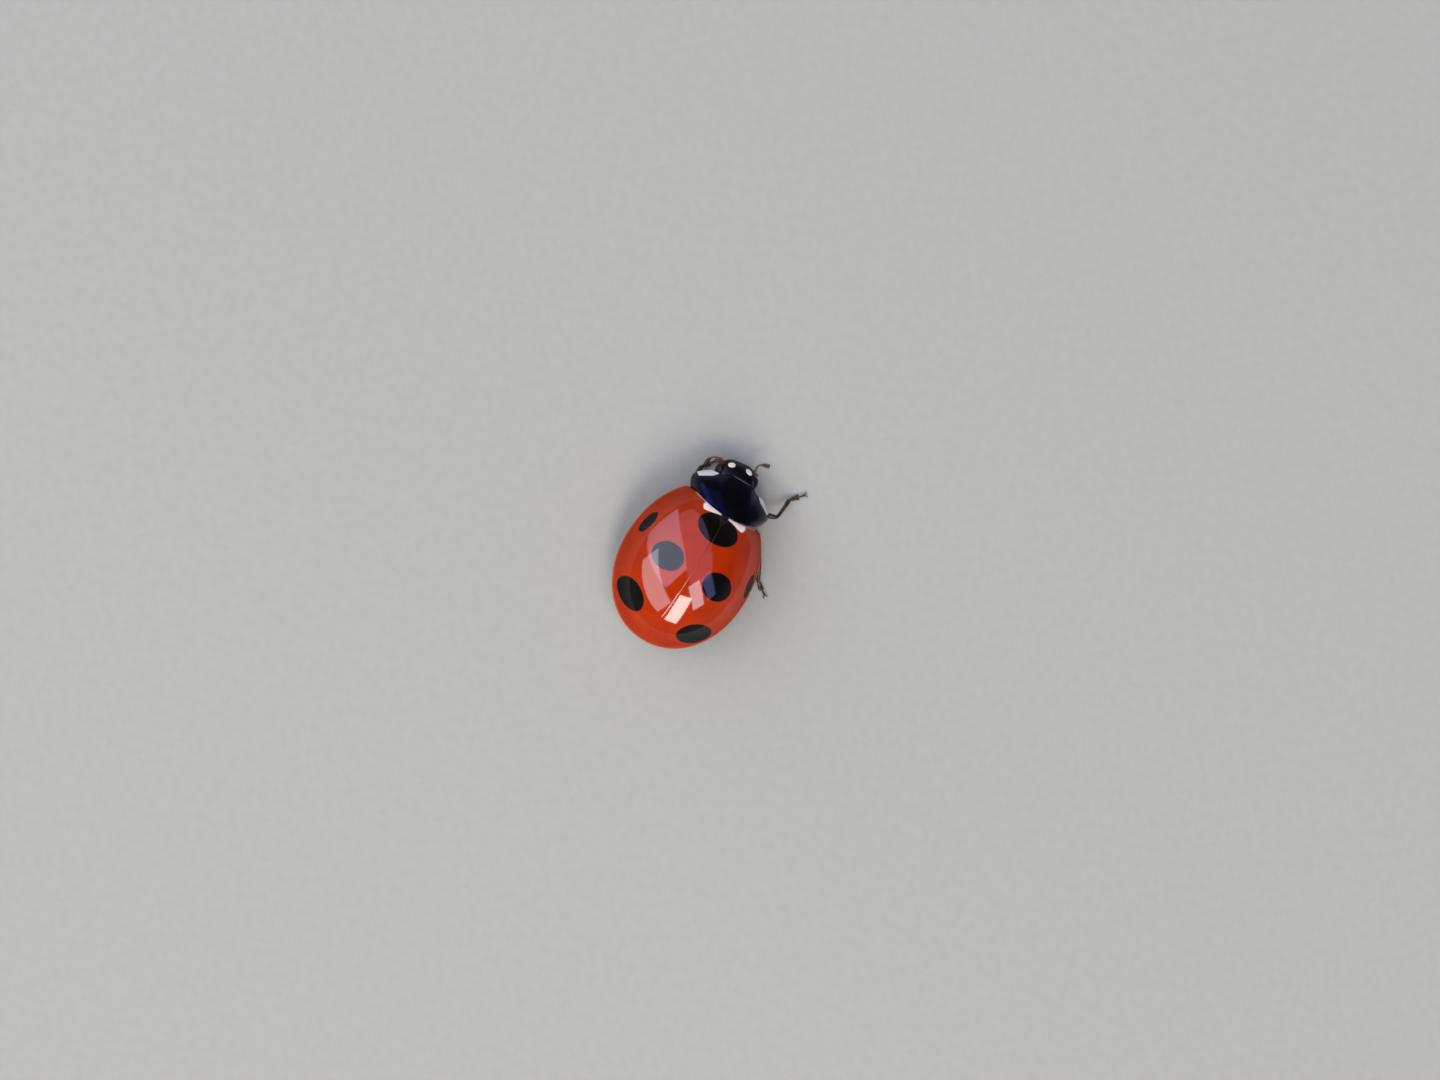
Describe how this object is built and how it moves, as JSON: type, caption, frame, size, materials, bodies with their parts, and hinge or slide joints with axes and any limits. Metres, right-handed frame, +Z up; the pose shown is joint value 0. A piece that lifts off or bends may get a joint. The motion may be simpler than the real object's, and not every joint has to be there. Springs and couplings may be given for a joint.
{
  "type": "seven-spot ladybird",
  "caption": "Life-size still model of a seven-spot ladybird standing on its feet, one foreleg stretched forward, head turned a little to its left.",
  "frame": {"origin": "middle of the bounding box, on the floor plane that the feet stand on", "axes": "+Z up; -Y is the way the body points, head end; +X is the animal's left side"},
  "size_m": [0.006, 0.0082, 0.0032],
  "materials": {
    "elytron_red": "smooth glossy red wing case with black spots",
    "pronotum_black": "glossy black with ivory front corners",
    "head_black": "glossy black, finely pitted",
    "body_black": "satin black",
    "leg_black": "satin black-brown with fine hair",
    "feeler_brown": "satin brown",
    "eye_black": "finely faceted glossy black"
  },
  "bodies": {
    "root": {"elytron_left": "elytron_red", "elytron_right": "elytron_red", "scutellum": "body_black", "thorax": "body_black", "abdomen": "body_black", "pronotum": "pronotum_black", "prothorax": "body_black", "head": "head_black", "eye_left": "eye_black", "eye_right": "eye_black", "labrum": "head_black", "mandible_left": "head_black", "mandible_right": "head_black", "palp_left": "feeler_brown", "palp_right": "feeler_brown", "antenna_left": "feeler_brown", "antenna_right": "feeler_brown", "fore_coxa_left": "leg_black", "fore_femur_left": "leg_black", "fore_tibia_left": "leg_black", "fore_tarsus_left": "leg_black", "fore_coxa_right": "leg_black", "fore_femur_right": "leg_black", "fore_tibia_right": "leg_black", "fore_tarsus_right": "leg_black", "mid_coxa_left": "leg_black", "mid_femur_left": "leg_black", "mid_tibia_left": "leg_black", "mid_tarsus_left": "leg_black", "mid_coxa_right": "leg_black", "mid_femur_right": "leg_black", "mid_tibia_right": "leg_black", "mid_tarsus_right": "leg_black", "hind_coxa_left": "leg_black", "hind_femur_left": "leg_black", "hind_tibia_left": "leg_black", "hind_tarsus_left": "leg_black", "hind_coxa_right": "leg_black", "hind_femur_right": "leg_black", "hind_tibia_right": "leg_black", "hind_tarsus_right": "leg_black"}
  },
  "joints": []
}
